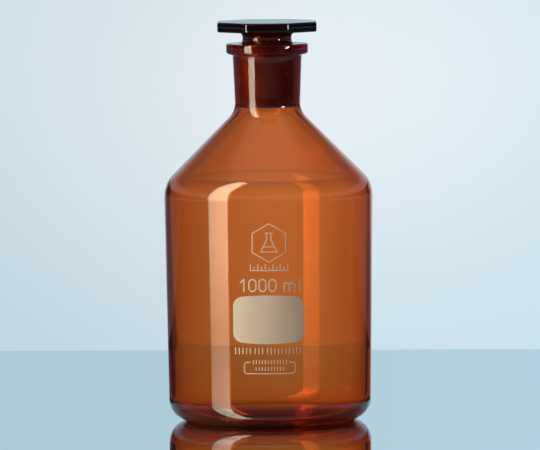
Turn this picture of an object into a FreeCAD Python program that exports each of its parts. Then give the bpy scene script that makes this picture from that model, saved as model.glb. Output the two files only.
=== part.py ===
"""Narrow-neck reagent bottle of nominal 1000 ml in amber glass, with its ground-in flat-head stopper.

Two loose pieces of glass, the bottle and the stopper, and the marks of enamel fired onto the front of the wall.
Frame: millimetres, +Z up along the axis of the bottle, the marks face -Y, and the origin is the middle of the
plane that the bottle stands on. The stopper has a 1:10 ground taper of 29.2 mm by 32 mm.
"""

import FreeCAD, Part
import math
import os

import Sketcher

DIMENSIONS = {
    # outside of the bottle
    "bottle_height": 194.2,
    "wall_top_radius": 53.8,
    "wall_foot_radius": 51.95,
    "shoulder_corner_height": 122.1,
    "neck_corner_height": 159.5,
    "neck_foot_radius": 16.6,
    "neck_top_radius": 17.8,
    "rim_radius": 21.2,
    "rim_thickness": 5.2,
    "heel_fillet": 11.0,
    "shoulder_fillet": 15.5,
    "neck_fillet": 11.0,
    "rim_top_fillet": 0.9,
    "rim_under_fillet": 1.6,
    "rim_root_fillet": 0.8,
    "rim_under_drop": 0.8,
    "mouth_fillet": 0.35,
    "punt_radius": 35.5,
    "punt_height": 3.4,
    # inside of the bottle
    "bore_top_radius": 14.6,
    "taper_per_mm": 0.05,
    "wall_thickness": 2.5,
    "neck_flare_height": 159.9,
    "inner_shoulder_height": 121.1,
    "floor_height": 3.0,
    "floor_crown": 2.8,
    "inner_heel_fillet": 9.5,
    "inner_shoulder_fillet": 13.5,
    "inner_neck_fillet": 16.0,
    # grip bars round the bearing ring
    "bar_count": 80.0,
    "bar_inner_radius": 38.2,
    "bar_outer_radius": 43.6,
    "bar_width": 1.4,
    "bar_height": 0.9,
    # stopper
    "joint_clearance": 0.05,
    "plug_top_height": 193.6,
    "plug_foot_height": 161.3,
    "plug_foot_fillet": 0.8,
    "waist_radius": 12.6,
    "waist_height": 196.8,
    "head_foot_height": 200.4,
    "head_thickness": 5.1,
    "head_across_flats": 51.1,
    "head_corner_fillet": 4.0,
    "head_edge_fillet": 0.9,
    # enamel marks
    "enamel_thickness": 0.1,
    "stroke_width": 0.5,
    "bold_stroke_width": 0.72,
}

HEAD_SIDES = 8
AXIS_TOLERANCE = 1e-6
MATCH_TOLERANCE = 1e-3
MARK_DEPTH = 60.0

doc = FreeCAD.newDocument("ReagentBottle")
sheet = doc.addObject("Spreadsheet::Sheet", "dimensions")
for row, (alias, value) in enumerate(DIMENSIONS.items(), 1):
    sheet.set(f"A{row}", alias)
    sheet.set(f"B{row}", str(value))
    sheet.setAlias(f"B{row}", alias)
doc.recompute()


class Size:
    """A length that comes from the sheet: its value now, and the expression that keeps a feature bound to it."""

    def __init__(self, value, text):
        self.value = value
        self.text = text

    def joined(self, other, sign, value):
        text = other.text if isinstance(other, Size) else str(other)
        return Size(value, f"({self.text} {sign} {text})")

    def __add__(self, other):
        return self.joined(other, "+", self.value + number(other))

    def __sub__(self, other):
        return self.joined(other, "-", self.value - number(other))

    def __mul__(self, other):
        return self.joined(other, "*", self.value * number(other))

    def __truediv__(self, other):
        return self.joined(other, "/", self.value / number(other))


def number(size):
    """The plain number of a Size or of a number."""
    return size.value if isinstance(size, Size) else float(size)


def cell(alias):
    """The Size of one cell of the sheet."""
    return Size(float(sheet.get(alias)), f"dimensions.{alias}")


def bind(feature, name, size):
    """Sets a property and keeps it bound to the sheet."""
    setattr(feature, name, number(size))
    feature.setExpression(name, size.text)


# ---- sketches and revolved features ----


def origin_feature(body, role):
    """One of the origin planes or axes of a body."""
    return next(f for f in body.Origin.OriginFeatures if f.Role == role)


def new_sketch(body, name, plane="XZ_Plane", height=None):
    """A sketch on an origin plane of its body, raised along the plane's normal by a Size if one is given."""
    sketch = body.newObject("Sketcher::SketchObject", name)
    sketch.AttachmentSupport = [(origin_feature(body, plane), "")]
    sketch.MapMode = "FlatFace"
    if height is not None:
        sketch.AttachmentOffset = FreeCAD.Placement(FreeCAD.Vector(0, 0, number(height)), FreeCAD.Rotation())
        sketch.setExpression("AttachmentOffset.Base.z", height.text)
    return sketch


def bind_distance(sketch, kind, geometry, point, size, name):
    """Holds a point at a distance from the sketch's origin along X or Y."""
    if isinstance(size, Size):
        index = sketch.addConstraint(Sketcher.Constraint(kind, -1, 1, geometry, point, size.value))
        sketch.renameConstraint(index, name)
        sketch.setExpression(f"Constraints.{name}", size.text)
    else:
        axis = -2 if kind == "DistanceX" else -1
        sketch.addConstraint(Sketcher.Constraint("PointOnObject", geometry, point, axis))


def draw_outline(sketch, corners):
    """A closed outline through corners, each (x, y) or (x, y, centre x, centre y, turn).

    The longer form makes the side that starts at that corner an arc about the centre, with turn +1 for
    anticlockwise. A coordinate of 0 lies on the sketch's axis, and every other one is a Size.
    """
    count = len(corners)
    for i, corner in enumerate(corners):
        after = corners[(i + 1) % count]
        start = FreeCAD.Vector(number(corner[0]), number(corner[1]), 0)
        end = FreeCAD.Vector(number(after[0]), number(after[1]), 0)
        if len(corner) == 2:
            sketch.addGeometry(Part.LineSegment(start, end), False)
            continue
        centre = FreeCAD.Vector(number(corner[2]), number(corner[3]), 0)
        first, last = (start, end) if corner[4] > 0 else (end, start)
        circle = Part.Circle(centre, FreeCAD.Vector(0, 0, 1), (start - centre).Length)
        angles = [math.atan2(p.y - centre.y, p.x - centre.x) for p in (first, last)]
        if angles[1] <= angles[0]:
            angles[1] += 2 * math.pi
        sketch.addGeometry(Part.ArcOfCircle(circle, *angles), False)

    def ends(i):
        """The sketch's numbers for the start point and the end point of side i."""
        return (2, 1) if len(corners[i]) > 2 and corners[i][4] < 0 else (1, 2)

    for i in range(count):
        after = (i + 1) % count
        sketch.addConstraint(Sketcher.Constraint("Coincident", i, ends(i)[1], after, ends(after)[0]))
    for i, corner in enumerate(corners):
        bind_distance(sketch, "DistanceX", i, ends(i)[0], corner[0], f"x{i}")
        bind_distance(sketch, "DistanceY", i, ends(i)[0], corner[1], f"y{i}")
        if len(corner) > 2:
            # two ends and one coordinate fix a centre; the other coordinate would be one constraint too many
            if isinstance(corner[2], Size):
                bind_distance(sketch, "DistanceY", i, 3, corner[3], f"cy{i}")
            else:
                bind_distance(sketch, "DistanceX", i, 3, corner[2], f"cx{i}")


def turned(body, kind, name, corners):
    """A PartDesign::Revolution or PartDesign::Groove of an outline, through a full turn about Z."""
    sketch = new_sketch(body, name + "_outline")
    draw_outline(sketch, corners)
    feature = body.newObject("PartDesign::" + kind, name)
    feature.Profile = sketch
    feature.ReferenceAxis = (sketch, ["V_Axis"])
    feature.Angle = 360
    doc.recompute()
    return feature


def ring_names(shape, radius, height):
    """The names of the circular edges about Z with this radius at this height."""
    found = []
    for i, edge in enumerate(shape.Edges, 1):
        if edge.Degenerated or not isinstance(edge.Curve, Part.Circle):
            continue
        centre = edge.Curve.Center
        if math.hypot(centre.x, centre.y) > AXIS_TOLERANCE:
            continue
        if abs(edge.Curve.Radius - number(radius)) > MATCH_TOLERANCE:
            continue
        if abs(centre.z - number(height)) < MATCH_TOLERANCE:
            found.append(f"Edge{i}")
    return found


def round_edges(body, base, names, radius, name):
    """A PartDesign::Fillet on named edges of a feature."""
    if not names:
        raise RuntimeError(f"{name}: no edge to round")
    fillet = body.newObject("PartDesign::Fillet", name)
    fillet.Base = (base, names)
    bind(fillet, "Radius", radius)
    doc.recompute()
    return fillet


# ---- bottle ----


def make_bottle():
    """The one-piece glass vessel: foot, wall, cone shoulder, neck with its rim, and the tapered bore."""
    body = doc.addObject("PartDesign::Body", "Bottle")
    body.Label = "bottle"
    top = cell("bottle_height")
    rim_foot = top - cell("rim_thickness")
    wall_foot = (cell("wall_foot_radius"), 0)
    shoulder = (cell("wall_top_radius"), cell("shoulder_corner_height"))
    neck_foot = (cell("neck_foot_radius"), cell("neck_corner_height"))
    neck_top = (cell("neck_top_radius"), rim_foot - cell("rim_under_drop"))
    rim_under = (cell("rim_radius"), rim_foot)
    rim_top = (cell("rim_radius"), top)
    # the punt is part of a sphere whose centre lies on the axis below the foot
    chord, rise = cell("punt_radius"), cell("punt_height")
    punt_sphere = (chord * chord + rise * rise) / (rise * 2)
    punt_centre = rise - punt_sphere
    outside = turned(
        body,
        "Revolution",
        "vessel",
        [(0, rise, 0, punt_centre, -1), (chord, 0), wall_foot, shoulder, neck_foot, neck_top, rim_under]
        + [rim_top, (0, top)],
    )
    tip = outside
    for place, radius, name in (
        (wall_foot, "heel_fillet", "heel"),
        (shoulder, "shoulder_fillet", "shoulder"),
        (neck_foot, "neck_fillet", "neck_root"),
        (neck_top, "rim_root_fillet", "rim_root"),
        (rim_under, "rim_under_fillet", "rim_under"),
        (rim_top, "rim_top_fillet", "rim_top"),
    ):
        tip = round_edges(body, tip, ring_names(tip.Shape, *place), cell(radius), name)

    cut = body.newObject("PartDesign::Boolean", "hollow")
    cut.Type = "Cut"
    cut.setObjects([make_cavity()])
    body.Tip = cut
    doc.recompute()
    mouth = ring_names(cut.Shape, cell("bore_top_radius"), top)
    round_edges(body, cut, mouth, cell("mouth_fillet"), "mouth")
    add_grip_bars(body)
    return body


def make_cavity():
    """The space inside the bottle: crowned floor, rounded heel and shoulder, and the bore of the ground neck."""
    body = doc.addObject("PartDesign::Body", "Cavity")
    top, bore_top = cell("bottle_height"), cell("bore_top_radius")
    floor, crown = cell("floor_height"), cell("floor_crown")
    bore_foot = bore_top - (top - cell("neck_flare_height")) * cell("taper_per_mm")
    inner_top = cell("wall_top_radius") - cell("wall_thickness")
    inner_foot = cell("wall_foot_radius") - cell("wall_thickness")
    # the crown of the floor is part of a sphere that ends inside the curve of the heel
    floor_edge = inner_foot - cell("inner_heel_fillet") * 1.15
    floor_sphere = (floor_edge * floor_edge + crown * crown) / (crown * 2)
    floor_centre = floor + crown - floor_sphere
    flare = (bore_foot, cell("neck_flare_height"))
    inner_shoulder = (inner_top, cell("inner_shoulder_height"))
    inner_heel = (inner_foot, floor)
    tip = turned(
        body,
        "Revolution",
        "space",
        [(0, floor + crown, 0, floor_centre, -1), (floor_edge, floor), inner_heel, inner_shoulder, flare]
        + [(bore_top, top), (0, top)],
    )
    for place, radius, name in (
        (inner_heel, "inner_heel_fillet", "inner_heel"),
        (inner_shoulder, "inner_shoulder_fillet", "inner_shoulder"),
        (flare, "inner_neck_fillet", "inner_neck"),
    ):
        tip = round_edges(body, tip, ring_names(tip.Shape, *place), cell(radius), name)
    return body


def add_grip_bars(body):
    """Short radial bars between the bearing ring and the curve of the heel, which keep the foot from slipping."""
    sketch = new_sketch(body, "bar_outline", "XY_Plane")
    half = cell("bar_width") / 2
    inner, outer = cell("bar_inner_radius"), cell("bar_outer_radius")
    low = FreeCAD.Vector(inner.value, -half.value, 0)
    corners = [
        low,
        FreeCAD.Vector(outer.value, low.y, 0),
        FreeCAD.Vector(outer.value, -low.y, 0),
        FreeCAD.Vector(inner.value, -low.y, 0),
    ]
    for i, corner in enumerate(corners):
        sketch.addGeometry(Part.LineSegment(corner, corners[(i + 1) % 4]), False)
    for i in range(4):
        sketch.addConstraint(Sketcher.Constraint("Coincident", i, 2, (i + 1) % 4, 1))
    # symmetry about X also keeps the outer end upright
    for kind, side in (("Horizontal", 0), ("Horizontal", 2), ("Vertical", 3)):
        sketch.addConstraint(Sketcher.Constraint(kind, side))
    sketch.addConstraint(Sketcher.Constraint("Symmetric", 1, 1, 1, 2, -1))
    for kind, ends, size, name in (
        ("DistanceX", (-1, 1, 0, 1), inner, "inner"),
        ("DistanceX", (-1, 1, 0, 2), outer, "outer"),
        ("DistanceY", (1, 1, 1, 2), half * 2, "width"),
    ):
        index = sketch.addConstraint(Sketcher.Constraint(kind, *ends, size.value))
        sketch.renameConstraint(index, name)
        sketch.setExpression(f"Constraints.{name}", size.text)
    pad = body.newObject("PartDesign::Pad", "bar")
    pad.Profile = sketch
    bind(pad, "Length", cell("bar_height"))
    doc.recompute()
    pattern = body.newObject("PartDesign::PolarPattern", "bars")
    pattern.Originals = [pad]
    pattern.Axis = (origin_feature(body, "Z_Axis"), [""])
    pattern.Angle = 360
    pattern.Occurrences = int(cell("bar_count").value)
    pattern.setExpression("Occurrences", "dimensions.bar_count")
    body.Tip = pattern
    doc.recompute()


# ---- stopper ----


def make_stopper():
    """The one-piece glass stopper: a solid ground plug, a waist and an octagonal flat head."""
    body = doc.addObject("PartDesign::Body", "Stopper")
    body.Label = "stopper"
    top, clearance = cell("bottle_height"), cell("joint_clearance")

    def plug_radius(height):
        return cell("bore_top_radius") - clearance - (top - height) * cell("taper_per_mm")

    plug_top, plug_foot = cell("plug_top_height"), cell("plug_foot_height")
    waist, waist_height = cell("waist_radius"), cell("waist_height")
    head_foot = cell("head_foot_height")
    head_top = head_foot + cell("head_thickness")
    # below the waist the side is an arc up from the plug's edge; above it a quarter circle up to the head
    step = plug_radius(plug_top) - waist
    drop = waist_height - plug_top
    lower_arc = (step * step + drop * drop) / (step * 2)
    upper_arc = head_foot - waist_height
    foot_corner = (plug_radius(plug_foot), plug_foot)
    turned(
        body,
        "Revolution",
        "plug",
        [
            (0, plug_foot),
            foot_corner,
            (plug_radius(plug_top), plug_top, waist + lower_arc, waist_height, -1),
            (waist, waist_height, waist + upper_arc, waist_height, -1),
            (waist + upper_arc, head_foot),
            (waist + upper_arc, head_top),
            (0, head_top),
        ],
    )
    head = add_head(body)
    verticals = [f"Edge{i}" for i, edge in enumerate(head.Shape.Edges, 1) if is_head_corner(edge)]
    tip = round_edges(body, head, verticals, cell("head_corner_fillet"), "head_corners")
    rims = [f"Edge{i}" for i, edge in enumerate(tip.Shape.Edges, 1) if is_head_rim(edge)]
    tip = round_edges(body, tip, rims, cell("head_edge_fillet"), "head_edges")
    foot_ring = ring_names(tip.Shape, *foot_corner)
    round_edges(body, tip, foot_ring, cell("plug_foot_fillet"), "plug_foot")
    return body


def add_head(body):
    """The octagonal plate on top of the plug, one flat towards -Y."""
    sketch = new_sketch(body, "head_outline", "XY_Plane", cell("head_foot_height"))
    inner = cell("head_across_flats") / 2
    outer = inner.value / math.cos(math.pi / HEAD_SIDES)
    turns = [(2 * i + 1) * math.pi / HEAD_SIDES for i in range(HEAD_SIDES)]
    corners = [FreeCAD.Vector(outer * math.cos(a), outer * math.sin(a), 0) for a in turns]
    for i, corner in enumerate(corners):
        sketch.addGeometry(Part.LineSegment(corner, corners[(i + 1) % HEAD_SIDES]), False)
    for i in range(HEAD_SIDES):
        after = (i + 1) % HEAD_SIDES
        sketch.addConstraint(Sketcher.Constraint("Coincident", i, 2, after, 1))
        if i:
            sketch.addConstraint(Sketcher.Constraint("Equal", 0, i))
    sketch.addGeometry(Part.Circle(FreeCAD.Vector(), FreeCAD.Vector(0, 0, 1), outer), True)
    sketch.addConstraint(Sketcher.Constraint("Coincident", HEAD_SIDES, 3, -1, 1))
    for i in range(HEAD_SIDES):
        sketch.addConstraint(Sketcher.Constraint("PointOnObject", i, 1, HEAD_SIDES))
    # the first side joins the corners either side of +Y, so it is horizontal and half the head from the origin
    sketch.addConstraint(Sketcher.Constraint("Horizontal", 1))
    index = sketch.addConstraint(Sketcher.Constraint("DistanceY", -1, 1, 1, 1, inner.value))
    sketch.renameConstraint(index, "flat")
    sketch.setExpression("Constraints.flat", inner.text)
    pad = body.newObject("PartDesign::Pad", "head")
    pad.Profile = sketch
    bind(pad, "Length", cell("head_thickness"))
    doc.recompute()
    return pad


def is_head_corner(edge):
    """True for the eight upright edges of the head."""
    first, last = edge.Vertexes[0].Point, edge.Vertexes[-1].Point
    upright = math.hypot(first.x - last.x, first.y - last.y) < MATCH_TOLERANCE
    at_edge = math.hypot(first.x, first.y) > cell("head_across_flats").value / 2
    return upright and at_edge and len(edge.Vertexes) == 2


def is_head_rim(edge):
    """True for the edges round the top and the bottom face of the head."""
    foot = cell("head_foot_height").value
    heights = (foot, foot + cell("head_thickness").value)
    box = edge.BoundBox
    level = box.ZLength < MATCH_TOLERANCE and any(abs(box.ZMin - h) < MATCH_TOLERANCE for h in heights)
    middle = edge.valueAt((edge.FirstParameter + edge.LastParameter) / 2)
    return level and math.hypot(middle.x, middle.y) > cell("head_across_flats").value / 2 - 2 * MATCH_TOLERANCE


# ---- enamel marks on the front of the wall ----


def enamel_shell():
    """The thin skin over the tapered wall that every mark is cut from."""
    shapes = []
    for name, extra in (("enamel_outside", cell("enamel_thickness")), ("enamel_inside", None)):
        cone = doc.addObject("Part::Cone", name)
        foot, top = cell("wall_foot_radius"), cell("wall_top_radius")
        bind(cone, "Radius1", foot + extra if extra else foot)
        bind(cone, "Radius2", top + extra if extra else top)
        bind(cone, "Height", cell("shoulder_corner_height"))
        shapes.append(cone)
    skin = doc.addObject("Part::Cut", "enamel_skin")
    skin.Base, skin.Tool = shapes
    doc.recompute()
    return skin


def flat_point(across, up):
    """A point of the drawing plane of the marks, which faces -Y."""
    return FreeCAD.Vector(across, 0, up)


def line(*points):
    """A wire of straight runs through points of the drawing plane."""
    return Part.makePolygon([flat_point(*p) for p in points])


def arc(start, middle, end):
    """An edge from start to end through middle."""
    return Part.Arc(*[flat_point(*p) for p in (start, middle, end)]).toShape()


def stroked(path, width):
    """A prism of the band that a round-tipped pen of this width leaves along a path."""
    half, prisms = width / 2, []
    toward = FreeCAD.Vector(0, -MARK_DEPTH, 0)
    for edge in path.Edges:
        first, last = edge.valueAt(edge.FirstParameter), edge.valueAt(edge.LastParameter)
        for tip in (first, last):
            prisms.append(Part.makeCylinder(half, MARK_DEPTH, tip, FreeCAD.Vector(0, -1, 0)))
        if isinstance(edge.Curve, Part.Line):
            along = (last - first).normalize()
            side = along.cross(FreeCAD.Vector(0, 1, 0)) * half
            outline = [first + side, last + side, last - side, first - side, first + side]
            prisms.append(Part.Face(Part.makePolygon(outline)).extrude(toward))
        else:
            prisms.append(arc_band(edge, half).extrude(toward))
    return prisms[0].fuse(prisms[1:]).removeSplitter()


def arc_band(edge, half):
    """The flat band between two arcs that lie half the pen's width inside and outside an arc."""
    centre = edge.Curve.Center
    places = [edge.FirstParameter, (edge.FirstParameter + edge.LastParameter) / 2, edge.LastParameter]
    points = [edge.valueAt(place) for place in places]
    outer, inner = [
        [centre + (p - centre).normalize() * (edge.Curve.Radius + shift) for p in points]
        for shift in (half, -half)
    ]
    sides = [
        Part.Arc(*outer).toShape(),
        Part.LineSegment(outer[2], inner[2]).toShape(),
        Part.Arc(*reversed(inner)).toShape(),
        Part.LineSegment(inner[0], outer[0]).toShape(),
    ]
    return Part.Face(Part.Wire(sides))


def rounded_rectangle(left, right, foot, top, radius):
    """The wire of a rectangle with rounded corners in the drawing plane."""
    lean = radius * (1 - math.sqrt(0.5))
    return Part.Wire(
        [
            line((left + radius, foot), (right - radius, foot)).Edges[0],
            arc((right - radius, foot), (right - lean, foot + lean), (right, foot + radius)),
            line((right, foot + radius), (right, top - radius)).Edges[0],
            arc((right, top - radius), (right - lean, top - lean), (right - radius, top)),
            line((right - radius, top), (left + radius, top)).Edges[0],
            arc((left + radius, top), (left + lean, top - lean), (left, top - radius)),
            line((left, top - radius), (left, foot + radius)).Edges[0],
            arc((left, foot + radius), (left + lean, foot + lean), (left + radius, foot)),
        ]
    )


def add_mark(name, prisms, skin):
    """One node of enamel: the part of the skin that the prisms of a drawing cut out."""
    drawing = doc.addObject("Part::Feature", name + "_drawing")
    drawing.Shape = prisms[0] if len(prisms) == 1 else Part.makeCompound(prisms)
    mark = doc.addObject("Part::Common", name)
    mark.Base, mark.Tool = skin, drawing
    mark.Label = name
    doc.recompute()
    return mark


def writing_field(skin):
    """The panel that takes pencil: a rectangle with round corners and slightly bulging long sides."""
    left, right, foot, top, radius, bulge = -18.5, 17.3, 43.9, 67.5, 5.0, 0.7
    middle, lean = (left + right) / 2, radius * (1 - math.sqrt(0.5))
    outline = Part.Wire(
        [
            arc((left + radius, foot), (middle, foot - bulge), (right - radius, foot)),
            arc((right - radius, foot), (right - lean, foot + lean), (right, foot + radius)),
            line((right, foot + radius), (right, top - radius)).Edges[0],
            arc((right, top - radius), (right - lean, top - lean), (right - radius, top)),
            arc((right - radius, top), (middle, top + bulge), (left + radius, top)),
            arc((left + radius, top), (left + lean, top - lean), (left, top - radius)),
            line((left, top - radius), (left, foot + radius)).Edges[0],
            arc((left, foot + radius), (left + lean, foot + lean), (left + radius, foot)),
        ]
    )
    return add_mark("writing_field", [Part.Face(outline).extrude(FreeCAD.Vector(0, -MARK_DEPTH, 0))], skin)


def capacity_marking(skin):
    """The nominal capacity in plain figures."""
    pen = cell("bold_stroke_width").value
    foot, height, width, pitch = 70.2, 6.1, 3.5, 5.1
    glyphs = [line((-14.6, foot + height - 1.5), (-12.9, foot + height), (-12.9, foot))]
    for i in range(3):
        left = -10.3 + i * pitch
        glyphs.append(rounded_rectangle(left, left + width, foot, foot + height, width / 2 - 0.01))
    stem, arch, rise = 7.6, 2.65, 4.3
    for i in range(2):
        left, right = stem + i * arch, stem + (i + 1) * arch
        spring = foot + rise - arch / 2
        crown = arc((left, spring), ((left + right) / 2, foot + rise), (right, spring))
        glyphs.append(Part.Wire([crown, line((right, spring), (right, foot)).Edges[0]]))
    glyphs.append(line((stem, foot), (stem, foot + rise)))
    glyphs.append(line((15.7, foot), (15.7, foot + height)))
    prisms = [stroked(g, pen) for g in glyphs]
    letter_m = prisms[4].fuse([prisms[5], prisms[6]]).removeSplitter()
    return add_mark("capacity_marking", prisms[:4] + [letter_m, prisms[7]], skin)


def flask_symbol(skin):
    """A plain laboratory sign: a conical flask in a hexagon."""
    pen, middle, reach = cell("stroke_width").value, 95.0, 9.8
    corners = [(reach * math.sin(i * math.pi / 3), middle + reach * math.cos(i * math.pi / 3)) for i in range(7)]
    neck, lip, body, foot, top, shoulder = 1.1, 1.8, 4.2, middle - 4.6, middle + 5.0, middle + 1.6
    flask = line((-neck, top), (-neck, shoulder), (-body, foot), (body, foot), (neck, shoulder), (neck, top))
    slope = (body - neck) / (shoulder - foot)
    level = middle - 2.0
    level_half = body - slope * (level - foot)
    prisms = [stroked(line(*corners), pen)]
    inner = [stroked(p, pen) for p in (flask, line((-lip, top), (lip, top)))]
    inner.append(stroked(line((-level_half, level), (level_half, level)), pen))
    prisms.append(inner[0].fuse(inner[1:]).removeSplitter())
    return add_mark("flask_symbol", prisms, skin)


def symbol_scale(skin):
    """A short plain scale under the symbol: a base line with long and short ticks."""
    pen, half, foot, pitch = cell("stroke_width").value, 9.5, 80.9, 1.9
    count = round(2 * half / pitch)
    strokes = [stroked(line((-half, foot), (half, foot)), pen)]
    for i in range(count + 1):
        across = -half + i * pitch
        strokes.append(stroked(line((across, foot), (across, foot + (3.1 if i % 2 == 0 else 1.8))), pen))
    return add_mark("symbol_scale", [strokes[0].fuse(strokes[1:]).removeSplitter()], skin)


def tally_line(skin):
    """Three groups of plain upright ticks under the panel."""
    pen, foot, height, pitch = cell("stroke_width").value, 38.2, 3.0, 1.86
    ticks = []
    for left, count in ((-17.4, 5), (-7.4, 3), (-1.1, 11)):
        for i in range(count):
            across = left + i * pitch
            ticks.append(stroked(line((across, foot), (across, foot + height)), pen))
    return add_mark("tally_line", ticks, skin)


def code_frame(skin):
    """A frame for a batch code, open along the top, with a row of short ticks inside."""
    pen, half, foot, top, radius = cell("stroke_width").value, 13.0, 28.1, 33.9, 1.7
    lean, end = radius * (1 - math.sqrt(0.5)), 10.2
    path = [line((-end, top), (-half + radius, top)).Edges[0]]
    path.append(arc((-half + radius, top), (-half + lean, top - lean), (-half, top - radius)))
    path.append(line((-half, top - radius), (-half, foot + radius)).Edges[0])
    path.append(arc((-half, foot + radius), (-half + lean, foot + lean), (-half + radius, foot)))
    path.append(line((-half + radius, foot), (half - radius, foot)).Edges[0])
    path.append(arc((half - radius, foot), (half - lean, foot + lean), (half, foot + radius)))
    path.append(line((half, foot + radius), (half, top - radius)).Edges[0])
    path.append(arc((half, top - radius), (half - lean, top - lean), (half - radius, top)))
    path.append(line((half - radius, top), (end, top)).Edges[0])
    marks = [stroked(Part.Wire(path), pen)]
    for first, low, high, count in ((-8.4, top - 0.7, top + 0.9, 12), (-7.0, foot + 1.7, foot + 3.2, 10)):
        for i in range(count):
            across = first * (1 - 2 * i / (count - 1))
            marks.append(stroked(line((across, low), (across, high)), pen))
    return add_mark("code_frame", marks, skin)


# ---- checks and files ----


def write_parts(parts):
    """Checks every object of the document and writes one STEP file for each part."""
    doc.recompute()
    for thing in doc.Objects:
        if "Invalid" in thing.State or "Error" in thing.State:
            raise RuntimeError(f"{thing.Label} failed: {thing.State}")
    os.makedirs("parts", exist_ok=True)
    for part in parts:
        shape = part.Shape
        if shape.isNull() or not shape.isValid() or not shape.Solids:
            raise RuntimeError(f"{part.Label} has no valid solid")
        shape.exportStep(os.path.join("parts", part.Label + ".step"))
        print(f"{part.Label}: {len(shape.Solids)} solids, {shape.Volume / 1000:.3f} cm3")


def main():
    bottle, stopper = make_bottle(), make_stopper()
    skin = enamel_shell()
    marks = [writing_field(skin), capacity_marking(skin), flask_symbol(skin)]
    marks += [symbol_scale(skin), tally_line(skin), code_frame(skin)]
    write_parts([bottle, stopper] + marks)


main()
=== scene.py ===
"""Looks of the amber reagent bottle: moulded glass with a ground-in stopper, and fired-on enamel marks."""

import math

import bpy
from mathutils import Matrix, Vector


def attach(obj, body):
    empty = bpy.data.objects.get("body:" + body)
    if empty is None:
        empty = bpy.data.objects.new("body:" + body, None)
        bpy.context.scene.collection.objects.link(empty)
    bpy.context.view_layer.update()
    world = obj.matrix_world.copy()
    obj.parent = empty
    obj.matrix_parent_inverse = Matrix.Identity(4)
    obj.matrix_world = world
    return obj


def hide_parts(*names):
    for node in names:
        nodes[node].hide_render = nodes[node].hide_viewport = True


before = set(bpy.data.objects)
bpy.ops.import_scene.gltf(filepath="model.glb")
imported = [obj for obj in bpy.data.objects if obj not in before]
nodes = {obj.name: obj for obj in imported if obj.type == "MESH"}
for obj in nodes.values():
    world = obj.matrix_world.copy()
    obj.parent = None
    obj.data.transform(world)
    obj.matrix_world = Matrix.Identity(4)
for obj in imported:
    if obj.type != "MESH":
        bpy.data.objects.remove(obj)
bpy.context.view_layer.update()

MM = 0.001
scene = bpy.context.scene
scene.view_settings.view_transform = "Standard"
scene.view_settings.look = "None"

# ---- node helpers ----


def new_material(name):
    """A material with an empty tree but its output."""
    material = bpy.data.materials.new(name)
    material.use_nodes = True
    tree = material.node_tree
    tree.nodes.clear()
    output = tree.nodes.new("ShaderNodeOutputMaterial")
    return material, tree, output


def add(tree, kind, **settings):
    """A node with its properties set by name. A name that starts with in_ sets the input called that."""
    node = tree.nodes.new(kind)
    for key, value in settings.items():
        if key.startswith("in_"):
            node.inputs[key[3:].replace("_", " ")].default_value = value
        else:
            setattr(node, key, value)
    return node


def feed(tree, socket, value):
    """Sets a socket to a number or a colour, or links another socket to it."""
    if isinstance(value, (int, float, tuple)):
        socket.default_value = value
    else:
        tree.links.new(value, socket)


def maths(tree, operation, *values):
    """The result of a Math node on sockets or numbers."""
    node = add(tree, "ShaderNodeMath", operation=operation)
    for socket, value in zip(node.inputs, values):
        feed(tree, socket, value)
    return node.outputs[0]


def ramp(tree, value, low, high):
    """A smooth step of value from 0 at low to 1 at high."""
    node = tree.nodes.new("ShaderNodeMapRange")
    node.interpolation_type = "SMOOTHSTEP"
    node.inputs["From Min"].default_value = low
    node.inputs["From Max"].default_value = high
    tree.links.new(value, node.inputs["Value"])
    return node.outputs["Result"]


def band(tree, value, rises, falls):
    """A value that is 1 between two pairs of limits and 0 outside them, with smooth edges."""
    return maths(tree, "SUBTRACT", ramp(tree, value, *rises), ramp(tree, value, *falls))


def mixed(tree, factor, a, b):
    """A colour between a and b, each a socket or a colour."""
    node = add(tree, "ShaderNodeMix", data_type="RGBA")
    # a Mix node keeps its colour sockets after those of its other data types
    for socket, value in ((node.inputs[0], factor), (node.inputs[6], a), (node.inputs[7], b)):
        feed(tree, socket, value)
    return node.outputs[2]


def scaled(tree, colour, share):
    """A colour times a number, each a value or a socket."""
    node = add(tree, "ShaderNodeVectorMath", operation="SCALE")
    feed(tree, node.inputs[0], colour)
    feed(tree, node.inputs["Scale"], share)
    return node.outputs[0]


def noise(tree, where, scale, detail=2.0, rough=0.5):
    """A noise value over a vector socket."""
    node = add(tree, "ShaderNodeTexNoise", in_Scale=scale, in_Detail=detail, in_Roughness=rough)
    tree.links.new(where, node.inputs["Vector"])
    return node.outputs["Fac"]


def add_relief(tree, shader, height):
    """Gives a shader the fine relief of a height socket, in metres."""
    bump = add(tree, "ShaderNodeBump", in_Strength=1.0, in_Distance=1.0)
    tree.links.new(height, bump.inputs["Height"])
    tree.links.new(bump.outputs["Normal"], shader.inputs["Normal"])


# ---- glass ----

GLASS_IOR = 1.473
GLASS_TAKES = (57.0, 352.0, 690.0)  # absorption of red, green and blue per metre
STOPPER_TAKES = (90.0, 400.0, 760.0)
DEEPEST_COLOUR = 0.98  # the strongest absorption, as a share of the shader's density
GROUND_ROUGHNESS, GROUND_UNEVENNESS = 0.5, 0.3
GRAIN_SCALE, GRAIN_HEIGHT = 900.0, 0.00001
WAVE_SCALE, WAVE_HEIGHT = 28.0, 0.00006
ARC_STEP = 0.45  # mm along a fillet
ARC_TURN = math.radians(7)


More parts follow.
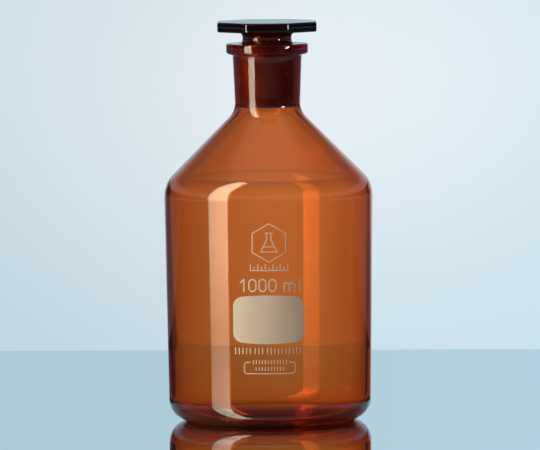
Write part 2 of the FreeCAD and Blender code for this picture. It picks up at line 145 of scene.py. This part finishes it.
def make_glass(name, takes):
    """Amber glass, darkened by its depth, and matt where the mesh's ground attribute says it is ground."""
    material, tree, output = new_material(name)
    where = add(tree, "ShaderNodeTexCoord").outputs["Object"]
    shader = add(tree, "ShaderNodeBsdfPrincipled")
    shader.inputs["Base Color"].default_value = (1, 1, 1, 1)
    shader.inputs["IOR"].default_value = GLASS_IOR
    shader.inputs["Transmission Weight"].default_value = 1.0
    ground = add(tree, "ShaderNodeAttribute", attribute_name="ground").outputs["Fac"]
    grain = noise(tree, where, GRAIN_SCALE, 3.0)
    rough = maths(tree, "MULTIPLY_ADD", grain, GROUND_UNEVENNESS, GROUND_ROUGHNESS - GROUND_UNEVENNESS / 2)
    tree.links.new(maths(tree, "MULTIPLY", ground, rough), shader.inputs["Roughness"])
    # moulded glass is never quite even: broad waves all over, fine grain where it is ground
    waves = maths(tree, "MULTIPLY", noise(tree, where, WAVE_SCALE, 1.0), WAVE_HEIGHT)
    fine = maths(tree, "MULTIPLY", maths(tree, "MULTIPLY", grain, ground), GRAIN_HEIGHT)
    add_relief(tree, shader, maths(tree, "ADD", waves, fine))
    tree.links.new(shader.outputs["BSDF"], output.inputs["Surface"])
    density = max(takes) / DEEPEST_COLOUR
    colour = (*[1 - take / density for take in takes], 1)
    volume = add(tree, "ShaderNodeVolumeAbsorption", in_Color=colour, in_Density=density)
    tree.links.new(volume.outputs["Volume"], output.inputs["Volume"])
    return material


def rounded(corners):
    """Points along a profile of (radius, height, fillet) corners, with each fillet drawn as an arc."""
    points = []
    for i, (x, z, fillet) in enumerate(corners):
        here = Vector((x, z))
        if fillet <= 0 or i in (0, len(corners) - 1):
            points.append(here)
            continue
        before = (Vector(corners[i - 1][:2]) - here).normalized()
        after = (Vector(corners[i + 1][:2]) - here).normalized()
        half = before.angle(after) / 2
        reach = fillet / math.tan(half)
        centre = here + (before + after).normalized() * (fillet / math.sin(half))
        first, last = here + before * reach - centre, here + after * reach - centre
        sweep = first.angle_signed(last)
        count = max(4, int(abs(sweep) * fillet / ARC_STEP), int(abs(sweep) / ARC_TURN))
        for k in range(count + 1):
            turn = -sweep * k / count
            c, s = math.cos(turn), math.sin(turn)
            points.append(centre + Vector((first.x * c - first.y * s, first.x * s + first.y * c)))
    return points


def filled_in(points, longest):
    """The same line with no run longer than longest."""
    out = [points[0]]
    for a, b in zip(points, points[1:]):
        count = max(1, math.ceil((b - a).length / longest))
        out += [a.lerp(b, (k + 1) / count) for k in range(count)]
    return out


def dome(edge, edge_height, rise, count, out=True):
    """Points of a shallow spherical rise, from the axis out to its edge or the other way."""
    sphere = (edge * edge + rise * rise) / (2 * rise)
    reach = math.asin(edge / sphere)
    points = []
    for k in range(count + 1):
        angle = reach * k / count
        points.append(Vector((sphere * math.sin(angle), edge_height + rise - sphere * (1 - math.cos(angle)))))
    return points if out else points[::-1]


def lathe(name, profile, angles, shape=None, ground=None):
    """A closed mesh of a profile in mm turned about Z.

    shape may move each point, and ground says which points are ground.
    """
    count = len(angles)
    inner = profile[1:-1]
    vertices, faces, matt = [], [], []
    for point in inner:
        for angle in angles:
            radius, height = shape(point.x, point.y, angle) if shape else (point.x, point.y)
            vertices.append((radius * math.cos(angle) * MM, radius * math.sin(angle) * MM, height * MM))
            matt.append(ground(point) if ground else 0.0)
    for ring in range(len(inner) - 1):
        for k in range(count):
            a, b = ring * count + k, ring * count + (k + 1) % count
            faces.append((a, b, b + count, a + count))
    for end, ring, flip in ((profile[0], 0, True), (profile[-1], len(inner) - 1, False)):
        middle = len(vertices)
        vertices.append((0.0, 0.0, end.y * MM))
        matt.append(0.0)
        for k in range(count):
            a, b = ring * count + k, ring * count + (k + 1) % count
            faces.append((middle, b, a) if flip else (middle, a, b))
    mesh = bpy.data.meshes.new(name)
    mesh.from_pydata(vertices, [], faces)
    mesh.validate()
    mesh.shade_smooth()
    layer = mesh.attributes.new("ground", "FLOAT", "POINT")
    layer.data.foreach_set("value", matt)
    piece = bpy.data.objects.new(name, mesh)
    scene.collection.objects.link(piece)
    return piece


def even_angles(count):
    """Angles of a full turn, evenly apart."""
    return [2 * math.pi * k / count for k in range(count)]


# sizes in mm, as in the CAD model
PUNT_RADIUS, PUNT_HEIGHT = 35.5, 3.4
WALL_FOOT, WALL_TOP, WALL, WALL_LOW = 51.95, 53.8, 2.5, 2.9
HEEL, INNER_HEEL = 11.0, 9.5
SHOULDER_HEIGHT, SHOULDER = 122.1, 15.5
INNER_SHOULDER_HEIGHT, INNER_SHOULDER = 121.1, 13.5
NECK_FOOT, NECK_HEIGHT, NECK_ROOT, NECK_TOP = 16.6, 159.5, 11.0, 17.8
RIM_TOP, RIM_FOOT, RIM_RADIUS, RIM_MIDDLE = 194.2, 189.0, 21.08, 21.2
BORE_TOP, TAPER, FLARE, INNER_ROOT = 14.6, 0.05, 159.9, 16.0
FLOOR, FLOOR_CROWN = 3.0, 2.8
DOME_STEPS = 16
BOTTLE_RUN, STOPPER_RUN = 3.0, 2.5  # the longest straight step of each profile
GROUND_FOOT = 161.9
# the grip bars: how many, the steps each is drawn in, its relief over them, and where it lies
BAR_COUNT = 80
BAR_STEPS = 6
BAR_SHAPE = (1.0, 1.0, 0.45, 0.0, 0.0, 0.45)
BAR_INNER, BAR_OUTER, BAR_HIGHEST, BAR_FADE = 38.2, 43.8, 1.2, 0.6


def bottle_outline():
    """The profile of the bottle in mm, from the middle of the push-up round to the middle of the floor."""
    outline = dome(PUNT_RADIUS, 0.0, PUNT_HEIGHT, DOME_STEPS)
    bore_foot = BORE_TOP - (RIM_TOP - FLARE) * TAPER
    floor_edge = WALL_FOOT - WALL_LOW - INNER_HEEL * 1.15
    outline += rounded(
        [
            (PUNT_RADIUS, 0.0, 0),
            (WALL_FOOT, 0.0, HEEL),
            (WALL_TOP, SHOULDER_HEIGHT, SHOULDER),
            (NECK_FOOT, NECK_HEIGHT, NECK_ROOT),
            (NECK_TOP, RIM_FOOT - 0.8, 0.8),
            (RIM_RADIUS, RIM_FOOT, 1.6),
            (RIM_MIDDLE, (RIM_FOOT + RIM_TOP) / 2, 25.0),
            (RIM_RADIUS, RIM_TOP, 0.9),
            (BORE_TOP, RIM_TOP, 0.35),
            (bore_foot, FLARE, INNER_ROOT),
            (WALL_TOP - WALL, INNER_SHOULDER_HEIGHT, INNER_SHOULDER),
            (WALL_FOOT - WALL + 0.6, 38.0, 60.0),
            (WALL_FOOT - WALL_LOW, FLOOR, INNER_HEEL),
            (floor_edge, FLOOR, 0),
        ]
    )[1:]
    outline += dome(floor_edge, FLOOR, FLOOR_CROWN, DOME_STEPS, out=False)[1:]
    return filled_in(outline, BOTTLE_RUN)


def ground_zone(reach, top):
    """A test that gives 1 on a ground cone, within a radius of reach and below top, and 0 elsewhere."""

    def ground(point):
        return 1.0 if point.x < reach and GROUND_FOOT < point.y < top else 0.0

    return ground


def foot_ribs(radius, height, angle):
    """Carries the short grip bars on the outside of the heel down to the level of the foot."""
    if height > BAR_HIGHEST or not BAR_INNER <= radius <= BAR_OUTER:
        return radius, height
    step = round(angle / (2 * math.pi) * BAR_COUNT * BAR_STEPS) % BAR_STEPS
    fade = min(1.0, (BAR_OUTER - radius) / BAR_FADE)
    return radius, height * (1 - BAR_SHAPE[step] * fade)


BOTTLE_ANGLES = even_angles(BAR_COUNT * BAR_STEPS)
bottle = lathe("bottle_glass", bottle_outline(), BOTTLE_ANGLES, foot_ribs, ground_zone(14.7, 193.6))
bottle.data.materials.append(make_glass("amber_glass", GLASS_TAKES))
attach(bottle, "bottle")
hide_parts("bottle")

# ---- stopper ----

HEAD_HALF = 25.55
HEAD_CORNER = 4.0
HEAD_EDGE = 0.9
HEAD_FOOT = 200.4
HEAD_TOP = 205.5
HEAD_SIDES = 8
HEAD_SECTOR = 2 * math.pi / HEAD_SIDES
HEAD_KEY = 1000.0  # a radius from here on stands for a ring of the head, by its number
WAIST, WAIST_HEIGHT = 12.6, 196.8
PLUG_TOP = (14.52, 193.6)
PLUG_FOOT = (12.905, 161.3)


def head_angles():
    """Angles round the head, closer together at its corners. A flat faces -Y."""
    shares = [0.0, 0.012, 0.024, 0.036, 0.06]
    shares += [0.1 + 0.05 * k for k in range(17)]
    shares += [0.94, 0.964, 0.976, 0.988]
    angles = []
    for side in range(HEAD_SIDES):
        start = side * HEAD_SECTOR - math.pi / 2 - HEAD_SECTOR / 2
        angles += [start + share * HEAD_SECTOR for share in shares]
    return angles


def head_radius(angle, inset):
    """How far the head's rounded octagon, set in by inset, reaches at an angle."""
    off = (angle + math.pi / 2 + HEAD_SECTOR / 2) % HEAD_SECTOR - HEAD_SECTOR / 2
    half, corner = HEAD_HALF - inset, max(HEAD_CORNER - inset, 0.05)
    turn = math.atan((half - corner) * math.tan(HEAD_SECTOR / 2) / half)
    if abs(off) <= turn:
        return half / math.cos(off)
    centre = (half - corner) / math.cos(HEAD_SECTOR / 2)
    gap = HEAD_SECTOR / 2 - abs(off)
    return centre * math.cos(gap) + math.sqrt(max(corner**2 - (centre * math.sin(gap)) ** 2, 0))


def waist_arc(radius, angles):
    """Points of an arc that touches the waist where its angle is 0."""
    middle = WAIST + radius
    return [Vector((middle - radius * math.cos(a), WAIST_HEIGHT + radius * math.sin(a))) for a in angles]


def stopper_outline():
    """The stopper's turned part in mm, from the middle of its foot up to the flare under its head."""
    foot = PLUG_FOOT[1]
    step, drop = PLUG_TOP[0] - WAIST, WAIST_HEIGHT - PLUG_TOP[1]
    lower = (step * step + drop * drop) / (2 * step)
    upper = HEAD_FOOT - WAIST_HEIGHT
    first = math.asin(drop / lower)
    points = [Vector((0.0, foot)), Vector((4.0, foot)), Vector((8.0, foot))]
    points += rounded([(8.0, foot, 0), (*PLUG_FOOT, 0.8), (*PLUG_TOP, 0)])[1:]
    points += waist_arc(lower, [-first * (1 - k / 8) for k in range(1, 9)])
    points += waist_arc(upper, [math.pi / 2 * k / 14 for k in range(1, 15)])
    return filled_in(points, STOPPER_RUN)


def head_rings():
    """The rings of the head from below: what each follows, its inset or share, and its height."""
    turns = [math.pi / 2 * k / 6 for k in range(7)]
    bends = [(HEAD_EDGE * (1 - math.sin(turn)), HEAD_EDGE * (1 - math.cos(turn))) for turn in turns]
    rings = [("blend", share, HEAD_FOOT) for share in (0.2, 0.45, 0.7, 0.9, 0.98)]
    rings += [("edge", inset, HEAD_FOOT + rise) for inset, rise in bends]
    rings += [("edge", rise, HEAD_TOP - inset) for inset, rise in bends]
    rings += [("cap", share, HEAD_TOP) for share in (0.97, 0.9, 0.7, 0.45, 0.2, 0.0)]
    return rings


def make_stopper():
    """The stopper, turned up to its flare and eight-sided from there."""
    turned = stopper_outline()
    flare = turned[-1].x
    rings = head_rings()
    profile = turned + [Vector((HEAD_KEY + i, ring[2])) for i, ring in enumerate(rings)]

    def shape(radius, height, angle):
        if radius < HEAD_KEY - 1:
            return radius, height
        kind, value = rings[round(radius - HEAD_KEY)][:2]
        if kind == "edge":
            return head_radius(angle, value), height
        reach = head_radius(angle, HEAD_EDGE)
        if kind == "blend":
            return flare + (reach - flare) * value, height
        return reach * value, height

    return lathe("stopper_glass", profile, head_angles(), shape, ground_zone(14.6, 193.55))


stopper = make_stopper()
stopper.data.materials.append(make_glass("stopper_amber_glass", STOPPER_TAKES))
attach(stopper, "stopper")
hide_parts("stopper")

# ---- enamel ----

MARKS = ("writing_field", "capacity_marking", "flask_symbol", "symbol_scale", "tally_line", "code_frame")
ENAMEL_TONES = ((0.74, 0.56, 0.47, 1), (0.82, 0.62, 0.52, 1))
ENAMEL_LETS_THROUGH = 0.42
CLOUD_SCALE = 130.0
SCREEN_SCALE, SCREEN_HEIGHT = 2600.0, 0.000006


def make_enamel():
    """Warm white enamel fired onto the wall: matt, a little uneven, with the fine grain of its screen."""
    material, tree, output = new_material("fired_enamel")
    where = add(tree, "ShaderNodeTexCoord").outputs["Object"]
    shader = add(tree, "ShaderNodeBsdfPrincipled")
    cloud = noise(tree, where, CLOUD_SCALE, 4.0, 0.6)
    grain = noise(tree, where, SCREEN_SCALE, 2.0)
    tree.links.new(mixed(tree, cloud, *ENAMEL_TONES), shader.inputs["Base Color"])
    tree.links.new(maths(tree, "MULTIPLY_ADD", cloud, 0.2, 0.45), shader.inputs["Roughness"])
    shader.inputs["Transmission Weight"].default_value = ENAMEL_LETS_THROUGH
    add_relief(tree, shader, maths(tree, "MULTIPLY", grain, SCREEN_HEIGHT))
    tree.links.new(shader.outputs["BSDF"], output.inputs["Surface"])
    return material


enamel = make_enamel()
for name in MARKS:
    nodes[name].data.materials.clear()
    nodes[name].data.materials.append(enamel)

# ---- table ----

TABLE_TURN = -3.7  # degrees
TABLE_MIRROR = (0.73, 0.86, 0.965, 1)
TABLE_PLAIN = (0.62, 0.72, 0.78, 1)


def make_table():
    """A glossy pale table top that ends a little behind the bottle."""
    mesh = bpy.data.meshes.new("table")
    left, right, front, back = -1.9, 1.9, -4.5, 0.42
    low, top = -0.02, -0.00005
    outline = ((left, front), (right, front), (right, back), (left, back))
    corners = [(x, y, z) for z in (low, top) for x, y in outline]
    sides = [(0, 3, 2, 1), (4, 5, 6, 7), (0, 1, 5, 4), (1, 2, 6, 5), (2, 3, 7, 6), (3, 0, 4, 7)]
    mesh.from_pydata(corners, [], sides)
    table = bpy.data.objects.new("table", mesh)
    table.rotation_euler = (0, 0, math.radians(TABLE_TURN))
    scene.collection.objects.link(table)
    material, tree, output = new_material("glossy_table")
    mirror = add(tree, "ShaderNodeBsdfGlossy", in_Color=TABLE_MIRROR, in_Roughness=0.02)
    plain = add(tree, "ShaderNodeBsdfDiffuse", in_Color=TABLE_PLAIN)
    facing = add(tree, "ShaderNodeLayerWeight", in_Blend=0.5).outputs["Facing"]
    share = maths(tree, "MULTIPLY_ADD", ramp(tree, facing, 0.3, 0.85), 0.15, 0.85)
    mix = add(tree, "ShaderNodeMixShader")
    tree.links.new(share, mix.inputs[0])
    tree.links.new(plain.outputs[0], mix.inputs[1])
    tree.links.new(mirror.outputs[0], mix.inputs[2])
    tree.links.new(mix.outputs[0], output.inputs["Surface"])
    mesh.materials.append(material)


make_table()

# ---- studio ----

# directions from the bottle, in degrees: the azimuth from straight behind it, and the level
BACKDROP_LEFT, BACKDROP_RIGHT = 18.0, 24.0
BACKDROP_WIDENS = 0.35
NARROWS, WIDENS_AGAIN = (4.0, 5.1), (5.8, 7.5)
NARROWER_LEFT, NARROWER_RIGHT = -8.0, -9.0
POOL_MIDDLE = (0.2, -3.3)
POOL_WIDTH, POOL_HEIGHT = 1.35, 1.0
POOL_COLOUR = (0.185, 0.125, 0.10)
# the backdrop's colour at its foot, then each level where the next one begins and is full
BACKDROP_FOOT = (0.550, 0.695, 0.775, 1)
BACKDROP_TONES = (
    (-4.9, -2.4, (0.610, 0.735, 0.805, 1)),
    (-1.5, 1.5, (0.470, 0.620, 0.700, 1)),
    (3.2, 4.2, (0.610, 0.710, 0.730, 1)),
)
BACKDROP_SIDES = (0.95, 1.05)
ROOM_ABOVE, ROOM_BELOW = (0.035, 0.035, 0.04, 1), (0.11, 0.12, 0.16, 1)
NAVY_BAND = (0.32, 0.50, 0.86, 1)
WALL_BAND = (0.36, 0.44, 0.49, 1)
WALL_FADES = -0.75
CEILING = (0.42, 0.50, 0.48, 1)


def make_world():
    """A lit pale backdrop behind the bottle in a dim studio, by direction alone."""
    world = bpy.data.worlds.new("studio")
    scene.world = world
    world.use_nodes = True
    tree = world.node_tree
    tree.nodes.clear()
    output = add(tree, "ShaderNodeOutputWorld")
    background = add(tree, "ShaderNodeBackground")
    way = add(tree, "ShaderNodeTexCoord").outputs["Generated"]
    split = add(tree, "ShaderNodeSeparateXYZ")
    tree.links.new(way, split.inputs[0])
    x, y, z = split.outputs
    azimuth = maths(tree, "MULTIPLY", maths(tree, "ARCTAN2", x, y), 180 / math.pi)
    level = maths(tree, "MULTIPLY", maths(tree, "ARCSINE", z), 180 / math.pi)
    # the lit backdrop narrows away from the horizon, and is wider again higher up
    above = maths(tree, "MULTIPLY", maths(tree, "MAXIMUM", level, 0.0), BACKDROP_WIDENS)
    away = band(tree, maths(tree, "ABSOLUTE", level), NARROWS, WIDENS_AGAIN)
    left_limit = maths(tree, "ADD", maths(tree, "MULTIPLY_ADD", away, NARROWER_LEFT, BACKDROP_LEFT), above)
    right_limit = maths(tree, "ADD", maths(tree, "MULTIPLY_ADD", away, NARROWER_RIGHT, BACKDROP_RIGHT), above)
    left = ramp(tree, maths(tree, "ADD", azimuth, left_limit), -1.75, 1.75)
    right = ramp(tree, maths(tree, "SUBTRACT", right_limit, azimuth), -5.0, 5.0)
    upper = ramp(tree, level, 16.0, 10.0)
    lower = ramp(tree, level, -32.0, -22.0)
    lit = maths(tree, "MULTIPLY", maths(tree, "MULTIPLY", left, right), maths(tree, "MULTIPLY", upper, lower))
    # the backdrop changes with the level, is a little darker to the left, and has a soft pool of light
    tone = BACKDROP_FOOT
    for begins, full, colour in BACKDROP_TONES:
        tone = mixed(tree, ramp(tree, level, begins, full), tone, colour)
    darker, lighter = [scaled(tree, tone, share) for share in BACKDROP_SIDES]
    tone = mixed(tree, ramp(tree, azimuth, -2.0, 2.0), darker, lighter)
    across = maths(tree, "MULTIPLY_ADD", azimuth, 1 / POOL_WIDTH, -POOL_MIDDLE[0] / POOL_WIDTH)
    up = maths(tree, "MULTIPLY_ADD", level, 1 / POOL_HEIGHT, -POOL_MIDDLE[1] / POOL_HEIGHT)
    reach = maths(tree, "ADD", maths(tree, "MULTIPLY", across, across), maths(tree, "MULTIPLY", up, up))
    pool = maths(tree, "EXPONENT", maths(tree, "MULTIPLY", reach, -0.5))
    backdrop = add(tree, "ShaderNodeVectorMath", operation="ADD")
    tree.links.new(tone, backdrop.inputs[0])
    tree.links.new(scaled(tree, POOL_COLOUR, pool), backdrop.inputs[1])
    # the rest is dim, with a navy band low at the sides, a pale band round the walls and a pale ceiling
    room = mixed(tree, ramp(tree, level, 0.0, -2.0), ROOM_ABOVE, ROOM_BELOW)
    sides = band(tree, maths(tree, "ABSOLUTE", azimuth), (50.0, 65.0), (115.0, 130.0))
    low = band(tree, level, (-3.5, -3.1), (-2.0, -1.0))
    room = mixed(tree, maths(tree, "MULTIPLY", sides, low), room, NAVY_BAND)
    wall = maths(tree, "MULTIPLY_ADD", ramp(tree, level, 16.0, 24.0), WALL_FADES, ramp(tree, level, 7.4, 8.6))
    room = mixed(tree, wall, room, WALL_BAND)
    room = mixed(tree, ramp(tree, level, 55.0, 72.0), room, CEILING)
    tree.links.new(mixed(tree, lit, room, backdrop.outputs[0]), background.inputs["Color"])
    background.inputs["Strength"].default_value = 1.0
    tree.links.new(background.outputs[0], output.inputs["Surface"])


make_world()


def way_to(azimuth, level):
    """The direction from the bottle to a light. azimuth is from the camera's side, positive to its right."""
    a, e = math.radians(azimuth), math.radians(level)
    return Vector((math.sin(a) * math.cos(e), -math.cos(a) * math.cos(e), math.sin(e)))


PANEL_AZIMUTH, PANEL_DISTANCE, PANEL_WIDTH, PANEL_HEIGHT = -54.93, 0.42, 0.167, 1.13
PANEL_COLOUR = (1.0, 0.98, 0.71)
PANEL_STRENGTH = 3.7
PANEL_STEPS = ((-0.011, 0.074, 3.1), (0.089, 0.149, 4.2))  # where each begins and is full, and what it adds
PANEL_LEAN = 1.98  # how much brighter it gets per metre to its right


def make_panel():
    """A tall narrow panel of light close by at the front left, brighter towards its top."""
    mesh = bpy.data.meshes.new("panel")
    half = PANEL_WIDTH / 2
    corners = [(-half, 0, 0), (half, 0, 0), (half, 0, PANEL_HEIGHT), (-half, 0, PANEL_HEIGHT)]
    mesh.from_pydata(corners, [], [(0, 1, 2, 3)])
    panel = bpy.data.objects.new("panel", mesh)
    scene.collection.objects.link(panel)
    angle = math.radians(PANEL_AZIMUTH)
    panel.location = (math.sin(angle) * PANEL_DISTANCE, -math.cos(angle) * PANEL_DISTANCE, 0.0)
    panel.rotation_euler = (0, 0, angle)
    material, tree, output = new_material("panel_light")
    place = add(tree, "ShaderNodeSeparateXYZ")
    tree.links.new(add(tree, "ShaderNodeTexCoord").outputs["Object"], place.inputs[0])
    strength = PANEL_STRENGTH
    for begins, full, gain in PANEL_STEPS:
        strength = maths(tree, "MULTIPLY_ADD", ramp(tree, place.outputs["Z"], begins, full), gain, strength)
    lean = maths(tree, "MULTIPLY_ADD", place.outputs["X"], PANEL_LEAN, 1.0)
    light = add(tree, "ShaderNodeEmission", in_Color=(*PANEL_COLOUR, 1))
    tree.links.new(maths(tree, "MULTIPLY", strength, lean), light.inputs["Strength"])
    tree.links.new(light.outputs[0], output.inputs["Surface"])
    mesh.materials.append(material)
    panel.visible_camera = False


make_panel()

SPOT_AZIMUTH, SPOT_LEVEL, SPOT_DISTANCE, SPOT_AIM = 56.0, 3.0, 0.25, 0.192
SPOT_RADIUS, SPOT_DEPTH, SPOT_SIDES = 0.022, 0.13, 24
SPOT_COLOUR = (1.0, 0.97, 0.95, 1)
SPOT_STRENGTH = 30.0


def make_spot():
    """A small round lamp at the back of a black tube, so that it only reaches the neck and the stopper."""
    turns = [math.radians(360 / SPOT_SIDES * i) for i in range(SPOT_SIDES)]
    ring = [(SPOT_RADIUS * math.cos(turn), SPOT_RADIUS * math.sin(turn)) for turn in turns]
    points = [(x, y, z) for z in (0, SPOT_DEPTH) for x, y in ring]
    faces = [tuple(range(SPOT_SIDES))]
    for i in range(SPOT_SIDES):
        after = (i + 1) % SPOT_SIDES
        faces.append((i, after, SPOT_SIDES + after, SPOT_SIDES + i))
    mesh = bpy.data.meshes.new("spot")
    mesh.from_pydata(points, [], faces)
    spot = bpy.data.objects.new("spot", mesh)
    scene.collection.objects.link(spot)
    back = way_to(SPOT_AZIMUTH, SPOT_LEVEL)
    spot.location = back * SPOT_DISTANCE + Vector((0, 0, SPOT_AIM))
    spot.rotation_mode = "QUATERNION"
    spot.rotation_quaternion = (-back).to_track_quat("Z", "Y")
    lamp, tree, output = new_material("spot_lamp")
    light = add(tree, "ShaderNodeEmission", in_Color=SPOT_COLOUR, in_Strength=SPOT_STRENGTH)
    tree.links.new(light.outputs[0], output.inputs["Surface"])
    tube, tree, output = new_material("spot_tube")
    black = add(tree, "ShaderNodeBsdfDiffuse", in_Color=(0.01, 0.01, 0.01, 1))
    tree.links.new(black.outputs[0], output.inputs["Surface"])
    mesh.materials.append(lamp)
    mesh.materials.append(tube)
    for face in mesh.polygons[1:]:
        face.material_index = 1
    spot.visible_camera = False


make_spot()

GLOW_AZIMUTH, GLOW_LEVEL, GLOW_DISTANCE, GLOW_AIM = -78.0, 3.0, 0.4, 0.183
GLOW_SIZE, GLOW_SPREAD, GLOW_WATTS = 0.08, 12.0, 0.03
GLOW_COLOUR = (1.0, 0.85, 1.0)


def make_glow():
    """Soft light from the left that only brightens the ground glass of the neck."""
    data = bpy.data.lights.new("glow", "AREA")
    data.shape = "RECTANGLE"
    data.size, data.size_y = GLOW_SIZE, GLOW_SIZE
    data.color = GLOW_COLOUR
    data.energy = GLOW_WATTS
    data.spread = math.radians(GLOW_SPREAD)
    glow = bpy.data.objects.new("glow", data)
    scene.collection.objects.link(glow)
    back = way_to(GLOW_AZIMUTH, GLOW_LEVEL)
    glow.location = back * GLOW_DISTANCE + Vector((0, 0, GLOW_AIM))
    glow.rotation_mode = "QUATERNION"
    glow.rotation_quaternion = back.to_track_quat("Z", "Y")
    glow.visible_camera = False
    glow.visible_glossy = False


make_glow()

# ---- camera ----

CAMERA_DISTANCE = 4.5
CAMERA_HEIGHT = 0.4186
CAMERA_ACROSS = 0.0007
CAMERA_AIM = 0.1004
CAMERA_ROLL = -0.5  # degrees
SENSOR_WIDTH = 36.0
FRAME_WIDTH = 0.278316  # what the picture is across at the bottle
camera_data = bpy.data.cameras.new("camera")
camera = bpy.data.objects.new("camera", camera_data)
scene.collection.objects.link(camera)
camera_data.sensor_width = SENSOR_WIDTH
camera_data.clip_start = 0.1
camera_data.clip_end = 50.0
camera.location = (CAMERA_ACROSS, -CAMERA_DISTANCE, CAMERA_HEIGHT)
direction = Vector((CAMERA_ACROSS, 0.0, CAMERA_AIM)) - camera.location
camera_data.lens = SENSOR_WIDTH * direction.length / FRAME_WIDTH
roll = Matrix.Rotation(math.radians(CAMERA_ROLL), 3, "Z").to_quaternion()
camera.rotation_mode = "QUATERNION"
camera.rotation_quaternion = direction.to_track_quat("-Z", "Y") @ roll
scene.camera = camera
